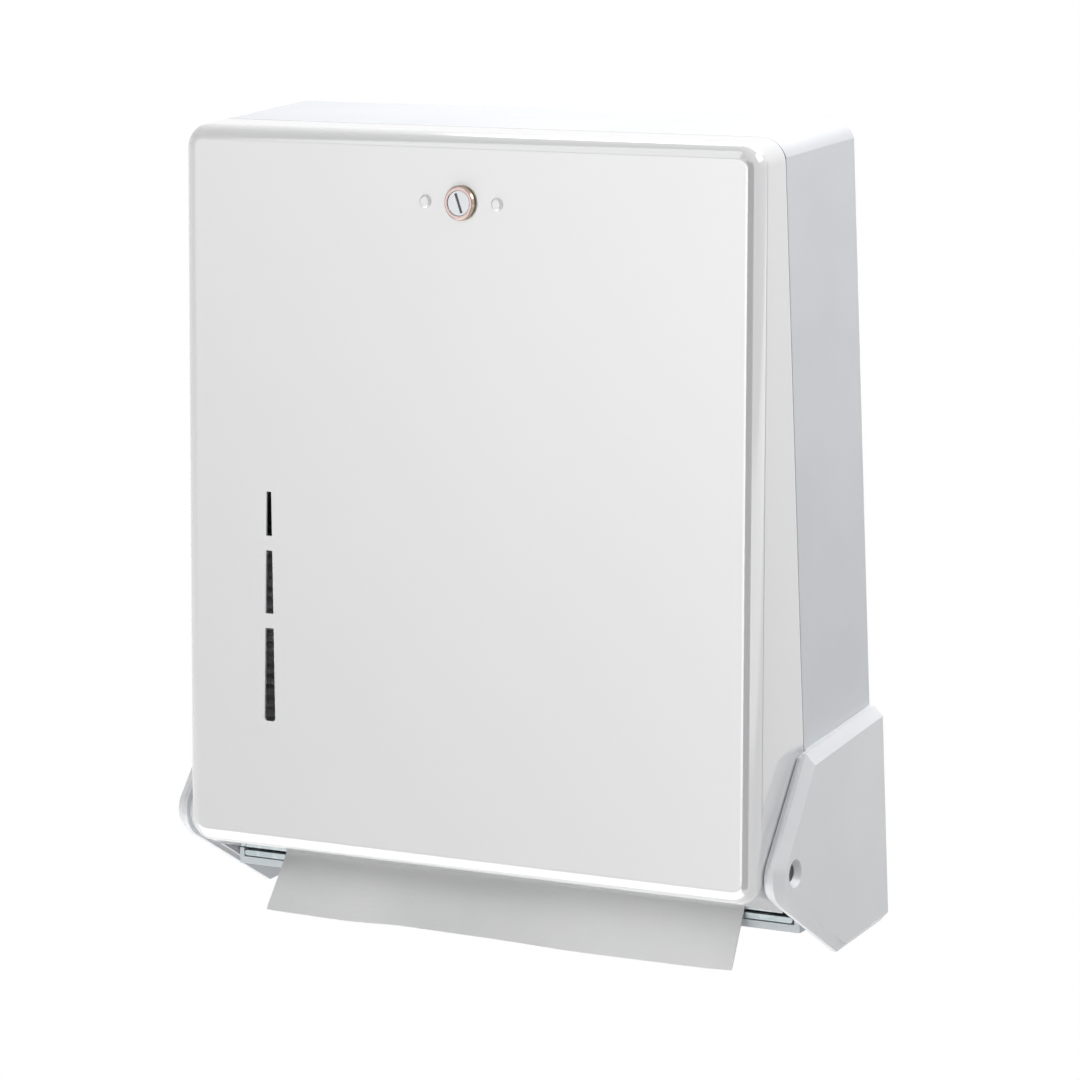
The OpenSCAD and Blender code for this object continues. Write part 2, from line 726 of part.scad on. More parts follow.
module front_cover() {
    last = len(level_slots) - 1;
    color("#e6e7ea") difference() {
        cover_body(0, 0);
        cover_body(sheet_t, 2 * pivot_ahead);
        for (i = [0:last])
            between(cover_top_out, 2 * cover_top_out) translate([level_x, 0])
                level_slot_2d(slot_top(i), slot_top(i) - level_slots[i], i == last);
        at_lock() {
            lock_round(-sheet_t - cut, cut, barrel_dia + 4 * fastener_fit);
            for (side = [-1, 1]) translate([side * rivet_pitch / 2, 0, 0])
                lock_round(-sheet_t - cut, cut, rivet_dia + 2 * fastener_fit);
        }
        rod_x(-cabinet_half - cut, cabinet_half + cut, pin_dia + 2 * fastener_fit, pivot_out, pivot_h);
    }
}

module pivot_pin() {
    inside_x = cabinet_half - sheet_t - seat_gap;
    rod_x(inside_x - pin_head_t, inside_x, pin_head_dia, pivot_out, pivot_h);
    rod_x(inside_x - pin_head_t / 2, pin_face_x - pin_recess, pin_dia, pivot_out, pivot_h);
}

module right_pivot_pin() {
    color("dimgray") pivot_pin();
}

module left_pivot_pin() {
    color("dimgray") mirror([1, 0, 0]) pivot_pin();
}

module lock_backing() {
    color("silver") at_lock() difference() {
        translate([-backing[0] / 2, -backing[1] / 2, backing_back]) cube(backing);
        lock_round(backing_back - cut, 0, barrel_dia + 4 * fastener_fit);
        for (side = [-1, 1]) translate([side * rivet_pitch / 2, 0, 0])
            lock_round(backing_back - cut, 0, rivet_dia + 2 * fastener_fit);
    }
}

module lock_rivets() {
    back = backing_back - seat_gap;
    color("#e6e7ea") at_lock() for (side = [-1, 1]) translate([side * rivet_pitch / 2, 0, 0]) {
        translate([0, 0, seat_gap]) cylinder(h = rivet_head_t, d1 = rivet_head_dia, d2 = rivet_flat_dia);
        lock_round(back - rivet_tail_t / 2, seat_gap + rivet_head_t / 2, rivet_dia);
        lock_round(back - rivet_tail_t, back, rivet_head_dia);
    }
}

module lock_housing() {
    front = rim_t - plug_front_t - 4 * seat_gap;
    color("#c9b3a4") at_lock() difference() {
        union() {
            lock_round(seat_gap, rim_t / 2, rim_dia);
            translate([0, 0, rim_t / 2])
                cylinder(h = rim_t / 2, d1 = rim_dia, d2 = rim_dia - 2 * rim_chamfer);
            lock_round(-barrel_len, rim_t / 2, barrel_dia);
        }
        lock_round(-barrel_len - cut, rim_t + cut, plug_dia + 2 * plug_fit);
        lock_round(front, rim_t + cut, plug_front_dia + 4 * plug_fit);
    }
}

module lock_nut() {
    front = backing_back - seat_gap;
    color("silver") at_lock() difference() {
        translate([0, 0, front - nut_t]) cylinder(h = nut_t, d = nut_flats / cos(30), $fn = 6);
        lock_round(front - nut_t - cut, front + cut, barrel_dia + 2 * fastener_fit);
    }
}

module lock_plug() {
    face = rim_t - 3 * seat_gap;
    color("gainsboro") at_lock() difference() {
        union() {
            lock_round(-barrel_len, face, plug_dia);
            lock_round(face - plug_front_t, face, plug_front_dia);
            translate([-tail_w / 2, -tail_w / 2, cam_back + seat_gap])
                cube([tail_w, tail_w, -cam_back - seat_gap - barrel_len + cut]);
        }
        rotate(key_tilt) translate([-key_slot[1] / 2, -key_slot[0] / 2, face - key_slot[2]])
            cube([key_slot[1], key_slot[0], key_slot[2] + cut]);
        lock_round(cam_back - cut, cam_back + cam_screw_len + cut, screw_dia + 2 * fastener_fit);
    }
}

module lock_cam() {
    hole = tail_w + 2 * fastener_fit;
    color("silver") at_lock() translate([0, 0, cam_back]) linear_extrude(cam_t) difference() {
        union() {
            circle(d = hole + 2 * cam_eye);
            translate([0, -cam_w / 2]) square([cam_reach - cam_w / 2, cam_w]);
            translate([cam_reach - cam_w / 2, 0]) circle(d = cam_w);
        }
        translate([-hole / 2, -hole / 2]) square(hole);
    }
}

module cam_washer() {
    color("silver") at_lock() difference() {
        lock_round(cam_back - seat_gap - washer_t, cam_back - seat_gap, tail_w + 2 * cam_washer_size[0]);
        lock_round(cam_back - washer_t - cut, cam_back + cut, screw_dia + 2 * fastener_fit);
    }
}

module cam_screw() {
    under = cam_back - washer_t - 2 * seat_gap;
    color("silver") at_lock() difference() {
        union() {
            lock_round(under - screw_head_t, under, screw_head_dia);
            lock_round(under - screw_head_t / 2, cam_back + cam_screw_len, screw_dia);
        }
        translate([-screw_head_dia / 2, -driver_slot / 2, under - screw_head_t - cut])
            cube([screw_head_dia, driver_slot, cut + screw_head_t / 2]);
    }
}

// Folded towels lying on the floor, each with a round fold at its front and its back
module towel_stack() {
    low = up(floor_h) + 3 * seat_gap;
    leaf = (up(stack_top_h) - low) / fold_count;
    front = -stack_back_out - fold_deep + fold_bulge;
    back = -stack_back_out - fold_bulge;
    steps = 4;
    function bulge(k) = fold_bulge * sin(180 * (k % steps) / steps);
    total = fold_count * steps;
    color("#c9cfcc") along_x(-towel_w / 2, towel_w / 2) polygon(concat(
        [for (k = [0:total]) [front - bulge(k), low + leaf * k / steps]],
        [for (k = [total:-1:0]) [back + bulge(k), low + leaf * k / steps]]
    ));
}

// Corners of the hanging towel's route in Y and Z: from the stack, down the chute, over the
// rolled edge of the throat plate and out
towel_off = towel_gap + towel_t / 2;
route = [
    [-chute_out - towel_off, up(floor_h) - 3 * seat_gap],
    [-chute_out - towel_off, up(floor_h - knee_drop) - towel_off],
    [-hem_out - towel_off, up(hem_top_h)],
    [-hem_out - towel_off, up(hem_top_h)] - tail_len * [cos(tail_angle), sin(tail_angle)]
];
bend_len = 5;
bend_steps = 4;
tail_steps = 6;
towel_columns = 24;

function unit(v) = v / norm(v);
function bend(before, at, after, t) =
    (1 - t) * (1 - t) * (at + bend_len * unit(before - at)) + 2 * t * (1 - t) * at
        + t * t * (at + bend_len * unit(after - at));
line = concat(
    [route[0]],
    [for (k = [0:bend_steps]) bend(route[0], route[1], route[2], k / bend_steps)],
    [for (k = [0:bend_steps]) bend(route[1], route[2], route[3], k / bend_steps)],
    [for (k = [1:tail_steps]) let (t = k / tail_steps)
        (1 - t) * bend(route[1], route[2], route[3], 1) + t * route[3]]
);
rows = len(line);
// Sideways direction of the route at a row, forward and up
function side_of(i) =
    let (d = unit(line[min(i + 1, rows - 1)] - line[max(i - 1, 0)])) [d[1], -d[0]];
// How much of the wave a row has, from none at the throat to all at the free edge
function wave_share(i) = pow(max(0, i - (rows - 1 - tail_steps)) / tail_steps, wave_growth);
function wave_at(x) = sin(360 * x / towel_w * long_wave[0] + long_wave[1])
    + short_wave[2] * sin(360 * x / towel_w * short_wave[0] + short_wave[1]);
function towel_point(i, j, face) =
    let (
        x = towel_w * (j / towel_columns - 0.5),
        off = face * towel_t / 2 + tail_wave * wave_share(i) * wave_at(x),
        p = line[i] + off * side_of(i)
    ) [x, p[0], p[1]];

module hanging_towel() {
    columns = towel_columns + 1;
    function at(face, i, j) = (face * rows + i) * columns + j;
    points = [
        for (face = [0, 1], i = [0:rows - 1], j = [0:towel_columns]) towel_point(i, j, 2 * face - 1)
    ];
    // Two triangles for the four corners of a patch, in order
    function patch(a, b, c, d) = [[a, b, c], [a, c, d]];
    faces = [
        for (i = [0:rows - 2], j = [0:towel_columns - 1], t = patch(
            at(0, i, j), at(0, i, j + 1), at(0, i + 1, j + 1), at(0, i + 1, j))) t,
        for (i = [0:rows - 2], j = [0:towel_columns - 1], t = patch(
            at(1, i, j), at(1, i + 1, j), at(1, i + 1, j + 1), at(1, i, j + 1))) t,
        for (i = [0:rows - 2], t = patch(at(0, i, 0), at(0, i + 1, 0), at(1, i + 1, 0), at(1, i, 0))) t,
        for (i = [0:rows - 2], t = patch(at(0, i, towel_columns), at(1, i, towel_columns),
            at(1, i + 1, towel_columns), at(0, i + 1, towel_columns))) t,
        for (j = [0:towel_columns - 1], t = patch(
            at(0, 0, j), at(1, 0, j), at(1, 0, j + 1), at(0, 0, j + 1))) t,
        for (j = [0:towel_columns - 1], t = patch(at(0, rows - 1, j), at(0, rows - 1, j + 1),
            at(1, rows - 1, j + 1), at(1, rows - 1, j))) t
    ];
    color("#d2d4d5") polyhedron(points, faces);
}

cabinet_shell();
left_cheek();
right_cheek();
cheek_screws();
towel_trough();
trough_screws();
throat_plate();
throat_screws();
strike();
strike_screws();
front_cover();
left_pivot_pin();
right_pivot_pin();
lock_backing();
lock_rivets();
lock_housing();
lock_nut();
lock_plug();
lock_cam();
cam_washer();
cam_screw();
towel_stack();
hanging_towel();
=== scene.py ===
"""Looks of a wall dispenser for folded paper towels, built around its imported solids.

Lengths in the modelling code are millimetres: x across, y out from the wall (the front is
negative) and h up from a base level just under the cheek faces. Blender gets metres.
"""

import json
import math
import random

import bmesh
import bpy
from mathutils import Matrix, Vector


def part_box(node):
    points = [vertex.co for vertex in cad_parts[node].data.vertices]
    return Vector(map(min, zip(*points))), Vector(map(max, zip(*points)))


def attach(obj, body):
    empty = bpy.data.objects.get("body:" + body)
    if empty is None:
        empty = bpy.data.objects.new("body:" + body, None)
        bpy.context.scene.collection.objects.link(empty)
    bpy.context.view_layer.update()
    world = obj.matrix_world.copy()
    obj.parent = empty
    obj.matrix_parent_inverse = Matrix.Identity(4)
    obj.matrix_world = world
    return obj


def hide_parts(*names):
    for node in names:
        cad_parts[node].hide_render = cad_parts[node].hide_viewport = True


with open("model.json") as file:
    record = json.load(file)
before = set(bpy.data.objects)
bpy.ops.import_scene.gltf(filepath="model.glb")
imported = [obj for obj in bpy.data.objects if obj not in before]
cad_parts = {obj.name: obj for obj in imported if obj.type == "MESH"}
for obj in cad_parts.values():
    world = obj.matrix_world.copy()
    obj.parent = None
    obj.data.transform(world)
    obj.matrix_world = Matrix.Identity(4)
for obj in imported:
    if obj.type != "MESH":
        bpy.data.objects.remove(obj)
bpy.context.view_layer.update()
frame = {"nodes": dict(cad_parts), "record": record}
record = frame["record"]
BODY_OF = {node: body for body, nodes in record["behaviour"]["bodies"].items() for node in nodes}

MM = 0.001
# Height of the frame's origin above that base level
ORIGIN_H = 200.0


def place(x, y, h):
    """Point of the frame, in metres."""
    return Vector((x, y, h - ORIGIN_H)) * MM


# Camera

EYE_DISTANCE = 2.0999
LOOK_AT = Vector((16.43, -60.0, -30.04)) * MM
LENS_MM = 162.8
SENSOR_MM = 36
yaw, pitch, roll = (math.radians(a) for a in (30.943, 12.100, -2.378))
level = Vector((math.cos(yaw), math.sin(yaw), 0))
ahead = Vector((-math.sin(yaw) * math.cos(pitch), math.cos(yaw) * math.cos(pitch),
                -math.sin(pitch)))
upright = level.cross(ahead)
side = math.cos(roll) * level + math.sin(roll) * upright
top = math.cos(roll) * upright - math.sin(roll) * level

bpy.ops.object.select_all(action="DESELECT")
bpy.ops.object.camera_add()
camera = bpy.context.object
camera.data.lens = LENS_MM
camera.data.sensor_width = SENSOR_MM
camera.matrix_world = Matrix((side, top, -ahead)).transposed().to_4x4()
camera.location = LOOK_AT - ahead * EYE_DISTANCE
bpy.context.scene.camera = camera

# Materials


def colour(hex_code):
    """Linear colour of an sRGB hex value."""
    parts = [int(hex_code[i : i + 2], 16) / 255 for i in (1, 3, 5)]
    return [p / 12.92 if p <= 0.04045 else ((p + 0.055) / 1.055) ** 2.4 for p in parts] + [1]


def add(tree, kind, inputs=None, **settings):
    """Adds a node with its settings; an input is a value or a (node, output) link."""
    node = tree.nodes.new(kind)
    for name, value in settings.items():
        setattr(node, name, value)
    for socket, value in (inputs or {}).items():
        if isinstance(value, tuple) and isinstance(value[0], bpy.types.Node):
            tree.links.new(value[0].outputs[value[1]], node.inputs[socket])
        else:
            node.inputs[socket].default_value = value
    return node


def per_mm(size):
    """Texture scale at which one feature is size millimetres."""
    return 1 / (size * MM)


def new_material(name):
    """Empty material with its output, its shader and Object coordinates."""
    material = bpy.data.materials.new(name)
    material.use_nodes = True
    tree = material.node_tree
    tree.nodes.clear()
    shader = add(tree, "ShaderNodeBsdfPrincipled")
    add(tree, "ShaderNodeOutputMaterial", {"Surface": (shader, "BSDF")})
    coords = add(tree, "ShaderNodeTexCoord")
    return material, tree, shader, (coords, "Object")


def link(tree, node, output, shader, socket):
    tree.links.new(node.outputs[output], shader.inputs[socket])


def two_tone(tree, factor, low, high, spread=(0.35, 0.65)):
    """Colour that drifts between two close tones."""
    ramp = add(tree, "ShaderNodeValToRGB", {"Fac": factor})
    ends = ramp.color_ramp.elements
    ends[0].position, ends[1].position = spread
    ends[0].color, ends[1].color = colour(low), colour(high)
    return ramp


def white_enamel():
    """Baked white enamel on sheet steel: glossy, with a faint orange peel."""
    material, tree, shader, where = new_material("baked_white_enamel")
    cloud = add(tree, "ShaderNodeTexNoise", {"Vector": where, "Scale": per_mm(140), "Detail": 2})
    tone = two_tone(tree, (cloud, "Fac"), "#e6e6e8", "#e8e8e9")
    link(tree, tone, "Color", shader, "Base Color")
    gloss = add(tree, "ShaderNodeMapRange",
                {"Value": (cloud, "Fac"), "To Min": 0.105, "To Max": 0.115})
    link(tree, gloss, "Result", shader, "Roughness")
    # Orange peel is 2 to 4 mm across on brushed or sprayed enamel
    peel = add(tree, "ShaderNodeTexNoise", {"Vector": where, "Scale": per_mm(3.5), "Detail": 1})
    bump = add(tree, "ShaderNodeBump",
               {"Height": (peel, "Fac"), "Strength": 0.12, "Distance": 0.00004})
    link(tree, bump, "Normal", shader, "Normal")
    shader.inputs["IOR"].default_value = 2.0
    # Clear glaze over the white
    shader.inputs["Coat Weight"].default_value = 1
    shader.inputs["Coat IOR"].default_value = 2.0
    shader.inputs["Coat Roughness"].default_value = 0.08
    return material


def moulded_abs(name, low, high, roughness, grain_mm):
    """Moulded ABS: satin skin with the fine spark grain of its tool and a slow drift in tone."""
    material, tree, shader, where = new_material(name)
    cloud = add(tree, "ShaderNodeTexNoise", {"Vector": where, "Scale": per_mm(45), "Detail": 4})
    tone = two_tone(tree, (cloud, "Fac"), low, high)
    link(tree, tone, "Color", shader, "Base Color")
    gloss = add(tree, "ShaderNodeMapRange",
                {"Value": (cloud, "Fac"), "To Min": roughness - 0.04, "To Max": roughness + 0.04})
    link(tree, gloss, "Result", shader, "Roughness")
    grain = add(tree, "ShaderNodeTexNoise",
                {"Vector": where, "Scale": per_mm(grain_mm), "Detail": 2})
    bump = add(tree, "ShaderNodeBump",
               {"Height": (grain, "Fac"), "Strength": 0.25, "Distance": 0.00003})
    link(tree, bump, "Normal", shader, "Normal")
    shader.inputs["IOR"].default_value = 1.53
    return material


def plated_steel(name, low, high, roughness, spangle_mm):
    """Metal plate on steel: crystals of slightly different tone and gloss."""
    material, tree, shader, where = new_material(name)
    crystal = add(tree, "ShaderNodeTexVoronoi", {"Vector": where, "Scale": per_mm(spangle_mm)})
    shade = add(tree, "ShaderNodeRGBToBW", {"Color": (crystal, "Color")})
    tone = two_tone(tree, (shade, "Val"), low, high, (0.1, 0.9))
    link(tree, tone, "Color", shader, "Base Color")
    gloss = add(tree, "ShaderNodeMapRange",
                {"Value": (shade, "Val"), "To Min": roughness - 0.06, "To Max": roughness + 0.06})
    link(tree, gloss, "Result", shader, "Roughness")
    shader.inputs["Metallic"].default_value = 1
    return material


def yellow_passivate(axis_point, axis):
    """Zinc with a yellow chromate film: pink on the front of the rim, golden on its side."""
    material, tree, shader, where = new_material("yellow_passivated_zinc")
    middle = add(tree, "ShaderNodeVectorMath", {0: where, 1: axis_point}, operation="SUBTRACT")
    out = add(tree, "ShaderNodeVectorMath", {0: (middle, "Vector"), 1: axis},
              operation="DOT_PRODUCT")
    # The film changes from side to front over 0.6 mm
    share = add(tree, "ShaderNodeMapRange",
                {"Value": (out, "Value"), "From Min": 1.1 * MM, "From Max": 1.7 * MM})
    drift = add(tree, "ShaderNodeTexNoise", {"Vector": where, "Scale": per_mm(2.5), "Detail": 2})
    mixed = add(tree, "ShaderNodeMath", {0: (drift, "Fac"), 1: 0.35, 2: (share, "Result")},
                operation="MULTIPLY_ADD")
    tone = two_tone(tree, (mixed, "Value"), "#8f7d45", "#b3a09c", (0.15, 1.0))
    link(tree, tone, "Color", shader, "Base Color")
    shader.inputs["Metallic"].default_value = 1
    shader.inputs["Roughness"].default_value = 0.2
    return material


def towel_paper():
    """Absorbent white paper: matt, fibrous, with a fine embossed dimple."""
    material, tree, shader, where = new_material("embossed_towel_paper")
    fibre = add(tree, "ShaderNodeTexNoise", {"Vector": where, "Scale": per_mm(1.2), "Detail": 6})
    cloud = add(tree, "ShaderNodeTexNoise", {"Vector": where, "Scale": per_mm(25), "Detail": 2})
    both = add(tree, "ShaderNodeMath", {0: (fibre, "Fac"), 1: 0.4, 2: (cloud, "Fac")},
               operation="MULTIPLY_ADD")
    tone = two_tone(tree, (both, "Value"), "#f5f6f6", "#fbfbfb", (0.5, 0.9))
    link(tree, tone, "Color", shader, "Base Color")
    # Emboss of such towels is about 1.6 mm from dot to dot
    dimple = add(tree, "ShaderNodeTexVoronoi",
                 {"Vector": where, "Scale": per_mm(1.6), "Randomness": 0.4})
    relief = add(tree, "ShaderNodeMath", {0: (fibre, "Fac"), 1: 0.5, 2: (dimple, "Distance")},
                 operation="MULTIPLY_ADD")
    bump = add(tree, "ShaderNodeBump",
               {"Height": (relief, "Value"), "Strength": 0.3, "Distance": 0.00008})
    link(tree, bump, "Normal", shader, "Normal")
    shader.inputs["Roughness"].default_value = 0.92
    shader.inputs["IOR"].default_value = 1.4
    return material


# Modelling by hand


def begin(name, operator, scale=(1, 1, 1), **settings):
    """Adds a primitive, puts its place into its mesh and opens it with nothing selected."""
    bpy.ops.object.select_all(action="DESELECT")
    operator(**settings)
    piece = bpy.context.object
    piece.name = piece.data.name = name
    piece.scale = scale
    bpy.ops.object.transform_apply(location=True, rotation=True, scale=True)
    bpy.ops.object.mode_set(mode="EDIT")
    bpy.ops.mesh.select_all(action="DESELECT")
    return piece


def middle_of(part):
    if isinstance(part, bmesh.types.BMVert):
        return part.co
    return sum((v.co for v in part.verts), Vector()) / len(part.verts)


def pick(piece, kind, test):
    """Selects the vertices, edges or faces that pass the test, and nothing else."""
    bpy.ops.mesh.select_mode(type=kind)
    bpy.ops.mesh.select_all(action="DESELECT")
    mesh = bmesh.from_edit_mesh(piece.data)
    for part in {"VERT": mesh.verts, "EDGE": mesh.edges, "FACE": mesh.faces}[kind]:
        if test(part):
            part.select_set(True)
    mesh.select_flush_mode()
    bmesh.update_edit_mesh(piece.data)


def move_picked(piece, where):
    """Puts each selected vertex where the function says."""
    mesh = bmesh.from_edit_mesh(piece.data)
    for vertex in mesh.verts:
        if vertex.select:
            vertex.co = where(vertex.co)
    bmesh.update_edit_mesh(piece.data)


def close(piece):
    bpy.ops.object.mode_set(mode="OBJECT")
    return piece


def activate(piece):
    bpy.ops.object.select_all(action="DESELECT")
    piece.select_set(True)
    bpy.context.view_layer.objects.active = piece


def modify(piece, kind, **settings):
    """Adds a modifier and applies it."""
    activate(piece)
    modifier = piece.modifiers.new(kind.lower(), kind)
    for name, value in settings.items():
        setattr(modifier, name, value)
    bpy.ops.object.modifier_apply(modifier=modifier.name)


def cut_away(piece, *cutters):
    """Takes the cutters' shapes out of the piece."""
    for cutter in cutters:
        modify(piece, "BOOLEAN", operation="DIFFERENCE", solver="EXACT", object=cutter)
        bpy.data.objects.remove(cutter)


def ease(piece, width, segments=3, sharper_than=30):
    """Rounds the edges that are sharper than an angle, and shades the rest smooth."""
    modify(piece, "BEVEL", width=width * MM, segments=segments, limit_method="ANGLE",
           angle_limit=math.radians(sharper_than), use_clamp_overlap=True)
    activate(piece)
    bpy.ops.object.shade_smooth_by_angle(angle=math.radians(sharper_than))
    modify(piece, "WEIGHTED_NORMAL", keep_sharp=True)


def dress(piece, node, material):
    """The piece stands for a solid, moves with its body and takes its finish."""
    piece.data.materials.clear()
    piece.data.materials.append(material)
    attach(piece, BODY_OF[node])
    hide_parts(node)


def copy_of(node, name):
    """Copy of a solid, welded and with its flat faces whole."""
    piece = bpy.data.objects.new(name, frame["nodes"][node].data.copy())
    bpy.context.scene.collection.objects.link(piece)
    activate(piece)
    bpy.ops.mesh.customdata_custom_splitnormals_clear()
    bpy.ops.object.mode_set(mode="EDIT")
    bpy.ops.mesh.select_all(action="SELECT")
    bpy.ops.mesh.remove_doubles(threshold=0.002 * MM)
    bpy.ops.mesh.dissolve_limited(angle_limit=math.radians(0.5))
    bpy.ops.mesh.select_all(action="DESELECT")
    return close(piece)


def soften(node, name, material, width, segments=2, sharper_than=30):
    """A solid with eased edges."""
    piece = copy_of(node, name)
    ease(piece, width, segments, sharper_than)
    dress(piece, node, material)


# Front cover

HALF_W = 142.3
TOP_H = 348.0
CORNER_R = 10.5
EDGE_R = 7.0
SHEET_T = 1.0
COVER_BACK_Y = -61.9
FACE_TOP_Y = -83.3
FACE_SLOPE = 0.086
LEAN = math.atan(FACE_SLOPE)
TURN_H = 39.6
LIP_ANGLE = math.radians(22)
LIP_LEN = 22.0
FLANK_H = 85.7
PIVOT = Vector((-90.6, 44.2))
EAR_R = 14.0
ROLL_STEPS = 10
PIN_HOLE_D = 8.1
LOCK_HOLE_D = 12.4
RIVET_HOLE_D = 3.4
RIVET_X = 17.65
# Level slots: place across, top and low end of each, widths at the ends, round of the lowest end
SLOT_X = -97.7
SLOT_ENDS = [(190.6, 171.3), (164.9, 137.2), (130.8, 89.8)]
SLOTS_TOP_H, SLOTS_LOW_H = SLOT_ENDS[0][0], SLOT_ENDS[-1][1]
SLOT_TOP_W, SLOT_LOW_W = 2.4, 5.6
SLOT_END_R = 1.6
# Length of the cutters that pass the sheet
CUT_THROUGH = 20

# Directions up along the leaning face and out of it
UP_FACE = Vector((0, math.sin(LEAN), math.cos(LEAN)))
OUT_FACE = Vector((0, -math.cos(LEAN), math.sin(LEAN)))


def face_y(h):
    return FACE_TOP_Y - FACE_SLOPE * (TOP_H - h)


FACE_ORIGIN = place(0, face_y(ORIGIN_H), ORIGIN_H)
RING_R = CORNER_R - EDGE_R
CORE_X = HALF_W - CORNER_R
top_centre_h = TOP_H - RING_R * math.cos(LEAN) - EDGE_R
CORE_TOP = (top_centre_h - ORIGIN_H) / math.cos(LEAN) + EDGE_R * math.tan(LEAN)
CORE_LOW = (TURN_H - ORIGIN_H) / math.cos(LEAN) + RING_R
turn_centre = Vector((face_y(TURN_H) + EDGE_R * math.cos(LEAN), TURN_H - EDGE_R * math.sin(LEAN)))
LIP_TIP = (turn_centre - EDGE_R * Vector((math.sin(LIP_ANGLE), math.cos(LIP_ANGLE)))
           + LIP_LEN * Vector((math.cos(LIP_ANGLE), -math.sin(LIP_ANGLE))))


def tangent_angle(point, turn):
    """Angle on the ear's circle where the line from a point touches it."""
    away = point - PIVOT
    return math.atan2(away.y, away.x) + turn * math.acos(EAR_R / away.length)


def ear_point(angle):
    return PIVOT + EAR_R * Vector((math.cos(angle), math.sin(angle)))


FLANK_END = Vector((COVER_BACK_Y, FLANK_H))
EAR_UPPER = ear_point(tangent_angle(FLANK_END, -1))
EAR_LOWER = ear_point(tangent_angle(LIP_TIP, 1))


def back_y(h):
    """Back edge of the cover's side at a height: straight, down round the ear, to the lip."""
    if h >= FLANK_H:
        return COVER_BACK_Y
    if EAR_LOWER.y < h < EAR_UPPER.y:
        return PIVOT.x + math.sqrt(EAR_R**2 - (h - PIVOT.y) ** 2)
    a, b = (FLANK_END, EAR_UPPER) if h >= EAR_UPPER.y else (EAR_LOWER, LIP_TIP)
    return a.x + (b.x - a.x) * (h - a.y) / (b.y - a.y)


def on_face(point):
    """A point's place across and up the leaning face, its core point and its direction from it."""
    x, v = point.x / MM, (point - FACE_ORIGIN).dot(UP_FACE) / MM
    core = Vector((max(-CORE_X, min(CORE_X, x)), max(CORE_LOW, min(CORE_TOP, v))))
    return core, (Vector((x, v)) - core).normalized()


def off_face(x, v, depth):
    return FACE_ORIGIN + (Vector((x, 0, 0)) + v * UP_FACE - depth * OUT_FACE) * MM


def rolled(step):
    """Where a boundary vertex goes at a step of the rolled edge."""
    def where(point):
        core, away = on_face(point)
        short = LEAN if away.y > 0 else LIP_ANGLE - LEAN
        turn = (math.pi / 2 - short * away.y**2) * step / ROLL_STEPS
        spot = core + away * (RING_R + EDGE_R * math.sin(turn))
        return off_face(spot.x, spot.y, EDGE_R * (1 - math.cos(turn)))
    return where


def to_opening(point):
    """Where a vertex of the rolled edge's end goes on the cover's opening."""
    core, away = on_face(point)
    h = point.z / MM + ORIGIN_H
    if away.y > 0.999:
        return place(point.x / MM, COVER_BACK_Y, TOP_H)
    if away.y < -0.999:
        return place(core.x * HALF_W / CORE_X, LIP_TIP.x, LIP_TIP.y)
    if away.y > 0.001:
        return place(core.x + CORNER_R * away.x, COVER_BACK_Y, TOP_H - CORNER_R + CORNER_R * away.y)
    if away.y < -0.001:
        share = math.atan2(-away.y, abs(away.x)) / (math.pi / 2)
        low = off_face(0, CORE_LOW, EDGE_R).z / MM + ORIGIN_H
        h = low + share * (LIP_TIP.y - low)
    return place(math.copysign(HALF_W, away.x), back_y(h), h)


def level_slot_cutter(top_h, low_h):
    """Tapered slot through the face; the lowest one has a rounded low end."""
    def width(h):
        share = (h - SLOTS_LOW_H) / (SLOTS_TOP_H - SLOTS_LOW_H)
        return SLOT_LOW_W + (SLOT_TOP_W - SLOT_LOW_W) * share

    middle_h = (top_h + low_h) / 2
    cutter = begin("slot_cutter", bpy.ops.mesh.primitive_cube_add, size=1,
                   location=place(SLOT_X, face_y(middle_h), middle_h),
                   scale=Vector((1, 30, top_h - low_h)) * MM)
    bpy.ops.mesh.select_all(action="SELECT")

    def tapered(point):
        h = point.z / MM + ORIGIN_H
        sidewards = math.copysign(width(h) / 2, point.x / MM - SLOT_X)
        return place(SLOT_X + sidewards, point.y / MM, h)

    move_picked(cutter, tapered)
    if low_h == SLOTS_LOW_H:
        low_z = place(0, 0, low_h).z
        pick(cutter, "EDGE", lambda e: abs(e.verts[0].co.y - e.verts[1].co.y) > 10 * MM
             and middle_of(e).z < low_z + 0.1 * MM)
        bpy.ops.mesh.bevel(offset=SLOT_END_R * MM, offset_type="OFFSET", segments=6,
                           affect="EDGES")
    return close(cutter)


LOCK_H = 319.2
LOCK_POINT = place(0, face_y(LOCK_H), LOCK_H)
LOCK_TURN = (math.pi / 2 - LEAN, 0, 0)


def at_lock(x):
    """Point on the face, level with the lock."""
    return LOCK_POINT + Vector((x, 0, 0)) * MM


def hole_cutter(location, diameter, depth, rotation):
    return close(begin("hole_cutter", bpy.ops.mesh.primitive_cylinder_add, vertices=64,
                       radius=diameter / 2 * MM, depth=depth * MM, location=location,
                       rotation=rotation))


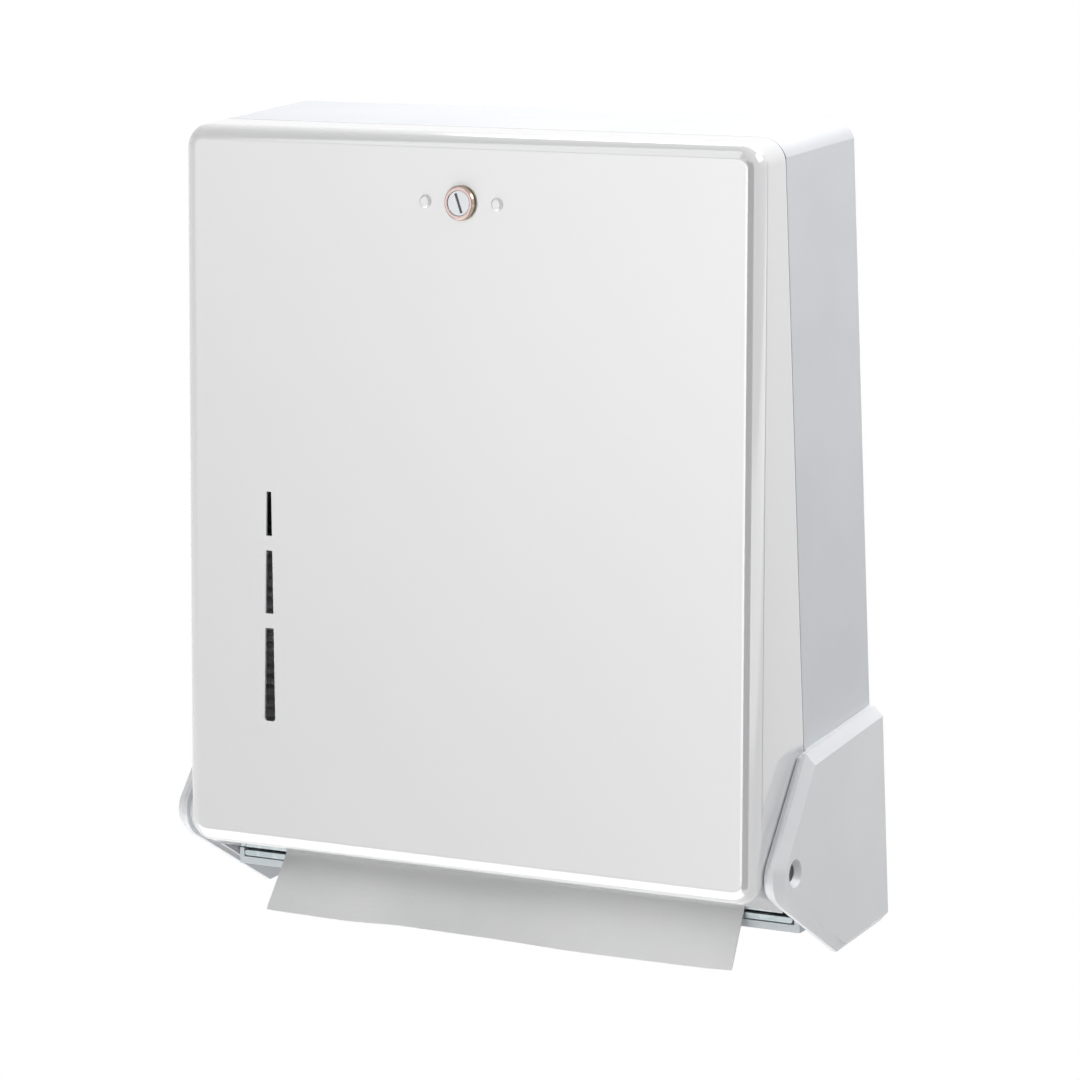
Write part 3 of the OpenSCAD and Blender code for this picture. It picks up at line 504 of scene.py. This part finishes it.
def make_cover(material):
    """Front cover, folded from one sheet: leaning face, rolled edges, flanges, ears and lip."""
    flat_w = 2 * (CORE_X + RING_R)
    flat_low, flat_top = CORE_LOW - RING_R, CORE_TOP + RING_R
    cover = begin("cover_sheet", bpy.ops.mesh.primitive_plane_add, size=1,
                  location=off_face(0, (flat_low + flat_top) / 2, 0), rotation=LOCK_TURN,
                  scale=(flat_w * MM, (flat_top - flat_low) * MM, 1))
    bpy.ops.mesh.select_all(action="SELECT")
    bpy.ops.mesh.bevel(offset=RING_R * MM, offset_type="OFFSET", segments=10, affect="VERTICES")
    # One more vertex on each side, where the flange's back edge leaves the cabinet
    pick(cover, "EDGE", lambda e: abs(e.verts[0].co.x - e.verts[1].co.x) < 0.01 * MM
         and e.calc_length() > 100 * MM)
    bpy.ops.mesh.subdivide(number_cuts=1)
    shoulder_v = (FLANK_H - ORIGIN_H + EDGE_R * math.sin(LEAN)) / math.cos(LEAN)
    middle_v = (CORE_TOP + CORE_LOW) / 2
    pick(cover, "VERT", lambda p: abs((p.co - FACE_ORIGIN).dot(UP_FACE) / MM - middle_v) < 1)
    move_picked(cover, lambda p: off_face(p.x / MM, shoulder_v, 0))
    pick(cover, "EDGE", lambda e: e.is_boundary)
    for step in range(1, ROLL_STEPS + 1):
        bpy.ops.mesh.extrude_edges_move()
        move_picked(cover, rolled(step))
    bpy.ops.mesh.extrude_edges_move()
    move_picked(cover, to_opening)
    bpy.ops.mesh.select_all(action="SELECT")
    bpy.ops.mesh.remove_doubles(threshold=0.001 * MM)
    mesh = bmesh.from_edit_mesh(cover.data)
    mesh.normal_update()
    largest = max(mesh.faces, key=lambda f: f.calc_area())
    if largest.normal.dot(OUT_FACE) < 0:
        bpy.ops.mesh.flip_normals()
    close(cover)
    modify(cover, "SOLIDIFY", thickness=SHEET_T * MM, offset=-1, use_even_offset=True)
    pin = hole_cutter(place(0, PIVOT.x, PIVOT.y), PIN_HOLE_D, 2 * HALF_W + CUT_THROUGH,
                      (0, math.pi / 2, 0))
    lock = hole_cutter(LOCK_POINT, LOCK_HOLE_D, CUT_THROUGH, LOCK_TURN)
    rivets = [hole_cutter(at_lock(x), RIVET_HOLE_D, CUT_THROUGH, LOCK_TURN)
              for x in (-RIVET_X, RIVET_X)]
    slots = [level_slot_cutter(top_h, low_h) for top_h, low_h in SLOT_ENDS]
    cut_away(cover, pin, lock, *rivets, *slots)
    ease(cover, 0.25, 2, 40)
    dress(cover, "front_cover", material)


# Towels

TOWEL_W = 234.0
STACK_COUNT = 24
STACK_FRONT_Y, STACK_BACK_Y = -85.1, -6.9
FOLD_STEPS = 6
# How far folds and towels stray, and how far a free edge stops short of the fold beside it
FOLD_SWAY, TOWEL_SLIP = 0.35, 0.3
EDGE_SHORT = 1.5
# Air between the layers
LAYER_GAP = 0.18
# Strip that each towel is drawn out from
SEED_W = 0.4


def fold(y, h, radius, direction):
    """Points of a half-round fold that starts at a place and goes up."""
    angles = [math.pi * k / FOLD_STEPS for k in range(FOLD_STEPS + 1)]
    return [(y + direction * radius * math.sin(a), h + radius * (1 - math.cos(a)))
            for a in angles]


def make_stack(material):
    """Folded towels: each one a sheet folded in three, lying on the one below."""
    shuffle = random.Random(7)
    low, high = (c.z / MM + ORIGIN_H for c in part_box("towel_stack"))
    pitch = (high - low) / STACK_COUNT
    panel = pitch / 3
    turn_r = panel / 2
    pieces = []
    for i in range(STACK_COUNT):
        sway = [shuffle.uniform(-FOLD_SWAY, FOLD_SWAY) for _ in range(4)]
        slip = shuffle.uniform(-TOWEL_SLIP, TOWEL_SLIP)
        base = low + pitch * i + panel / 2
        y_front = STACK_FRONT_Y + turn_r + FOLD_SWAY + sway[0]
        y_back = STACK_BACK_Y - turn_r - FOLD_SWAY + sway[1]
        path = [(y_back - EDGE_SHORT + sway[2], base)]
        path += fold(y_front, base, turn_r, -1)
        path += fold(y_back, base + panel, turn_r, 1)
        path += [(y_front + EDGE_SHORT + sway[3], base + 2 * panel)]
        start_y, start_h = path[0]
        edge_y = place(0, start_y, 0).y
        towel = begin(f"towel_{i:02d}", bpy.ops.mesh.primitive_plane_add, size=1,
                      location=place(slip, start_y, start_h),
                      scale=(TOWEL_W * MM, 0.5 * MM, 1))
        pick(towel, "VERT", lambda p: True)
        move_picked(towel, lambda p: place(
            p.x / MM, start_y + (SEED_W if p.y > edge_y else 0), start_h))
        pick(towel, "EDGE", lambda e: all(abs(v.co.y - edge_y) < 0.01 * MM for v in e.verts))
        for (y0, h0), (y1, h1) in zip(path, path[1:]):
            bpy.ops.mesh.extrude_edges_move(
                TRANSFORM_OT_translate={"value": Vector((0, y1 - y0, h1 - h0)) * MM})
        close(towel)
        modify(towel, "SOLIDIFY", thickness=(panel - LAYER_GAP) * MM, offset=0,
               use_even_offset=True)
        pieces.append(towel)
    activate(pieces[0])
    for towel in pieces:
        towel.select_set(True)
    bpy.ops.object.join()
    stack = bpy.context.object
    stack.name = stack.data.name = "folded_towels"
    activate(stack)
    bpy.ops.object.shade_smooth_by_angle(angle=math.radians(40))
    dress(stack, "towel_stack", material)


# Pulled towel: upright in the chute, sloping to the throat plate's edge, then free
CHUTE_Y = -63.4
CHUTE_TOP_H, CHUTE_LOW_H = 44.7, 30.5
PLATE_EDGE_Y, PLATE_EDGE_H = -71.4, 17.9
UPRIGHT_LEN, SLOPE_LEN, FREE_LEN = 14.2, 14.9, 29
BEND_S = 29.1
PAPER_T = 0.45
TOWEL_COLUMNS, FREE_ROWS = 48, 14
# Distances down the towel at which the part before the free end has its rows
HELD_ROWS = [0, 5, 10, 13, 15.5, 18, 22, 26, 28, BEND_S, 30.5]
# How far the free edge stands off its line, at shares of the width
WAVES = [(0, 0.0), (0.18, -0.9), (0.31, 2.2), (0.47, 1.4), (0.70, -2.6), (0.92, -2.4), (1, 0)]


def wave(u):
    """Smooth curve through the waves of the free edge."""
    for (u0, a), (u1, b) in zip(WAVES, WAVES[1:]):
        if u <= u1:
            t = (u - u0) / (u1 - u0)
            return a + (b - a) * (3 * t * t - 2 * t**3)
    return WAVES[-1][1]


def towel_route(u, s):
    """Point of the towel at a share u of its width and s millimetres down its length."""
    if s <= UPRIGHT_LEN:
        return CHUTE_Y, CHUTE_TOP_H - s
    if s <= UPRIGHT_LEN + SLOPE_LEN:
        t = (s - UPRIGHT_LEN) / SLOPE_LEN
        return (CHUTE_Y + t * (PLATE_EDGE_Y - CHUTE_Y),
                CHUTE_LOW_H + t * (PLATE_EDGE_H - CHUTE_LOW_H))
    # The free end is steeper and a little shorter to the right
    drop = math.radians(49 + 12 * u)
    tail = 27.4 - 1.7 * u
    t = (s - UPRIGHT_LEN - SLOPE_LEN) / FREE_LEN
    off = wave(u) * t**1.5
    return (PLATE_EDGE_Y - tail * t * math.cos(drop) - off * math.sin(drop),
            PLATE_EDGE_H - tail * t * math.sin(drop) + off * math.cos(drop))


def make_hanging_towel(material):
    """Towel pulled out of the throat: down the chute, over the plate's edge and out."""
    free_rows = [BEND_S + FREE_LEN * (k + 1) / FREE_ROWS for k in range(FREE_ROWS)]
    rows = sorted(set(HELD_ROWS + free_rows))
    towel = begin("pulled_towel", bpy.ops.mesh.primitive_grid_add, x_subdivisions=TOWEL_COLUMNS,
                  y_subdivisions=len(rows) - 1, size=1)
    pick(towel, "VERT", lambda p: True)

    def laid(point):
        u = point.x + 0.5
        row = rows[round((0.5 - point.y) * (len(rows) - 1))]
        return place(TOWEL_W * (u - 0.5), *towel_route(u, row))

    move_picked(towel, laid)
    bpy.ops.mesh.normals_make_consistent(inside=False)
    close(towel)
    modify(towel, "SMOOTH", factor=0.5, iterations=2)
    modify(towel, "SOLIDIFY", thickness=PAPER_T * MM, offset=0)
    activate(towel)
    bpy.ops.object.shade_smooth_by_angle(angle=math.radians(40))
    dress(towel, "hanging_towel", material)


# The object

enamel = white_enamel()
cabinet_abs = moulded_abs("moulded_cabinet_abs", "#dcdfe3", "#e1e3e7", 0.42, 0.9)
cheek_abs = moulded_abs("moulded_cheek_abs", "#e7e9ec", "#ebedef", 0.22, 0.9)
# The trough's ABS is toned darker and bluer than the cabinet's: painted shade for its place under
# the cover
trough_plastic_painted_shade = moulded_abs("moulded_trough_plastic_painted_shade", "#cfd6da", "#d5dbde", 0.38, 0.9)
galvanised = plated_steel("galvanised_sheet", "#9aa3a6", "#b4bbbd", 0.5, 6)
zinc = plated_steel("bright_zinc_plate", "#cfd1d3", "#d9dadb", 0.26, 1.5)
pin_steel = plated_steel("dark_pin_steel", "#5a5a57", "#686763", 0.42, 0.8)
nickel = plated_steel("bright_nickel_plate", "#b6b8bb", "#bdbfc1", 0.28, 2)
passivate = yellow_passivate(LOCK_POINT, OUT_FACE)
paper = towel_paper()

make_cover(enamel)
soften("cabinet_shell", "cabinet_moulding", cabinet_abs, 0.6, sharper_than=10)
soften("left_cheek", "left_cheek_moulding", cheek_abs, 0.8, 3)
soften("right_cheek", "right_cheek_moulding", cheek_abs, 0.8, 3)
soften("towel_trough", "trough_moulding", trough_plastic_painted_shade, 0.4)
soften("throat_plate", "throat_plate_sheet", galvanised, 0.25)
soften("strike", "strike_bracket", galvanised, 0.3)
soften("lock_backing", "lock_backing_plate", galvanised, 0.25)
soften("lock_rivets", "painted_rivets", enamel, 0.4, 4)
soften("lock_housing", "lock_rim", passivate, 0.25, 3)
soften("lock_plug", "lock_plug_face", nickel, 0.15)
soften("lock_nut", "lock_nut_hex", zinc, 0.3)
soften("lock_cam", "lock_cam_plate", zinc, 0.25)
soften("cam_washer", "cam_washer_ring", zinc, 0.15)
for screws in ("cheek_screws", "trough_screws", "throat_screws", "strike_screws", "cam_screw"):
    soften(screws, screws + "_set", zinc, 0.3)
for pin in ("left_pivot_pin", "right_pivot_pin"):
    soften(pin, pin + "_turned", pin_steel, 0.4)
make_stack(paper)
make_hanging_towel(paper)

# Studio

# Radiance of each lamp, where 1 is the white of the background
LEVELS = {"world": 0.22, "front": 1.55, "right": 0.55, "shoulder": 5.1, "back": 2.7,
          "low": 1.75, "high": 1.0}
# Front lamp: strength at its middle, and the rise to its right and its top
LAMP_MIDDLE, LAMP_RISE_X, LAMP_RISE_Y = 1.3, 1.25, 0.85
FLOOR_SIZE, FLOOR_Z = 12, -1.3

scene = bpy.context.scene
scene.view_settings.view_transform = "Standard"

world = bpy.data.worlds.new("studio")
scene.world = world
world.use_nodes = True
tree = world.node_tree
tree.nodes.clear()
rays = add(tree, "ShaderNodeLightPath")
seen = add(tree, "ShaderNodeMath", {0: (rays, "Is Camera Ray"), 1: (rays, "Is Glossy Ray")},
           operation="MAXIMUM")
seen = add(tree, "ShaderNodeMath", {0: (seen, "Value"), 1: (rays, "Is Transmission Ray")},
           operation="MAXIMUM")
glow = add(tree, "ShaderNodeMapRange",
           {"Value": (seen, "Value"), "To Min": LEVELS["world"], "To Max": 1})
sky = add(tree, "ShaderNodeBackground", {"Color": (1, 1, 1, 1), "Strength": (glow, "Result")})
add(tree, "ShaderNodeOutputWorld", {"Surface": (sky, "Background")})

STAGE_CENTRE = Vector((0.05, -0.08, -0.01))


def stage_point(azimuth, elevation, distance):
    """Point around the object: azimuth 0 is in front of it and 90 to its right."""
    a, e = math.radians(azimuth), math.radians(elevation)
    away = Vector((math.sin(a) * math.cos(e), -math.cos(a) * math.cos(e), math.sin(e)))
    return STAGE_CENTRE + distance * away


def facing(point):
    """Turn that points a lamp's or a card's -Z at the object."""
    return (STAGE_CENTRE - point).to_track_quat("-Z", "Y").to_euler()


def softbox(name, azimuth, elevation, distance, width, height, level):
    """Soft rectangular lamp that the camera doesn't see."""
    spot = stage_point(azimuth, elevation, distance)
    bpy.ops.object.select_all(action="DESELECT")
    bpy.ops.object.light_add(type="AREA", location=spot, rotation=facing(spot))
    lamp = bpy.context.object
    lamp.name = name
    lamp.data.shape = "RECTANGLE"
    lamp.data.size, lamp.data.size_y = width, height
    lamp.data.energy = level * math.pi * width * height
    lamp.visible_camera = False


def card(name, azimuth, elevation, distance, width, height, material):
    """Flat card around the object that the camera doesn't see."""
    spot = stage_point(azimuth, elevation, distance)
    bpy.ops.object.select_all(action="DESELECT")
    bpy.ops.mesh.primitive_plane_add(size=1, location=spot, rotation=facing(spot))
    piece = bpy.context.object
    piece.name = name
    piece.scale = (width, height, 1)
    piece.data.materials.append(material)
    piece.visible_camera = False
    return piece


card_black, _, card_shader, _ = new_material("black_card")
card_shader.inputs["Base Color"].default_value = colour("#101010")
card_shader.inputs["Roughness"].default_value = 1

softbox("right_softbox", 87, -8, 1.2, 2.8, 0.2, LEVELS["right"])
softbox("shoulder_softbox", 98, 42, 1.3, 0.8, 0.6, LEVELS["shoulder"])
softbox("back_softbox", 178, 58, 1.3, 1.6, 1.0, LEVELS["back"])
softbox("low_softbox", -31, -50, 1.3, 1.6, 1.3, LEVELS["low"])
softbox("high_softbox", -31, 35, 1.6, 0.5, 1.2, LEVELS["high"])

# The front lamp's rise makes the drift of tone over the cover's face
front_glow, glow_tree, _, glow_where = new_material("front_lamp_glow")
axes = add(glow_tree, "ShaderNodeSeparateXYZ", {"Vector": glow_where})
across = add(glow_tree, "ShaderNodeMath", {0: (axes, "X"), 1: LAMP_RISE_X, 2: LAMP_MIDDLE},
             operation="MULTIPLY_ADD")
drift = add(glow_tree, "ShaderNodeMath", {0: (axes, "Y"), 1: LAMP_RISE_Y, 2: (across, "Value")},
            operation="MULTIPLY_ADD")
strength = add(glow_tree, "ShaderNodeMath", {0: (drift, "Value"), 1: LEVELS["front"]},
               operation="MULTIPLY")
glow_light = add(glow_tree, "ShaderNodeEmission", {"Strength": (strength, "Value")})
glow_out = next(n for n in glow_tree.nodes if n.type == "OUTPUT_MATERIAL")
link(glow_tree, glow_light, "Emission", glow_out, "Surface")
card("front_lamp", -23, -3.6, 3.0, 1.8, 1.2, front_glow)

line_card = card("line_card", 141, -8, 1.15, 0.18, 1.0, card_black)
line_card.visible_diffuse = line_card.visible_shadow = False
flag = card("camera_flag", 16, -2, 2.2, 1.65, 2.2, card_black)
flag.visible_diffuse = flag.visible_shadow = False

floor_white, floor_tree, floor_shader, _ = new_material("pale_floor")
floor_shader.inputs["Base Color"].default_value = colour("#f2f2f2")
floor_shader.inputs["Roughness"].default_value = 0.9
floor_rays = add(floor_tree, "ShaderNodeLightPath")
floor_seen = add(floor_tree, "ShaderNodeMath",
                 {0: (floor_rays, "Is Camera Ray"), 1: (floor_rays, "Is Glossy Ray")},
                 operation="MAXIMUM")
floor_glow = add(floor_tree, "ShaderNodeEmission", {"Color": (1, 1, 1, 1), "Strength": 1})
floor_mix = add(floor_tree, "ShaderNodeMixShader",
                {0: (floor_seen, "Value"), 1: (floor_shader, "BSDF"), 2: (floor_glow, "Emission")})
floor_out = next(n for n in floor_tree.nodes if n.type == "OUTPUT_MATERIAL")
link(floor_tree, floor_mix, "Shader", floor_out, "Surface")
bpy.ops.object.select_all(action="DESELECT")
bpy.ops.mesh.primitive_plane_add(size=FLOOR_SIZE, location=(0, 0, FLOOR_Z))
floor = bpy.context.object
floor.name = "floor"
floor.data.materials.append(floor_white)
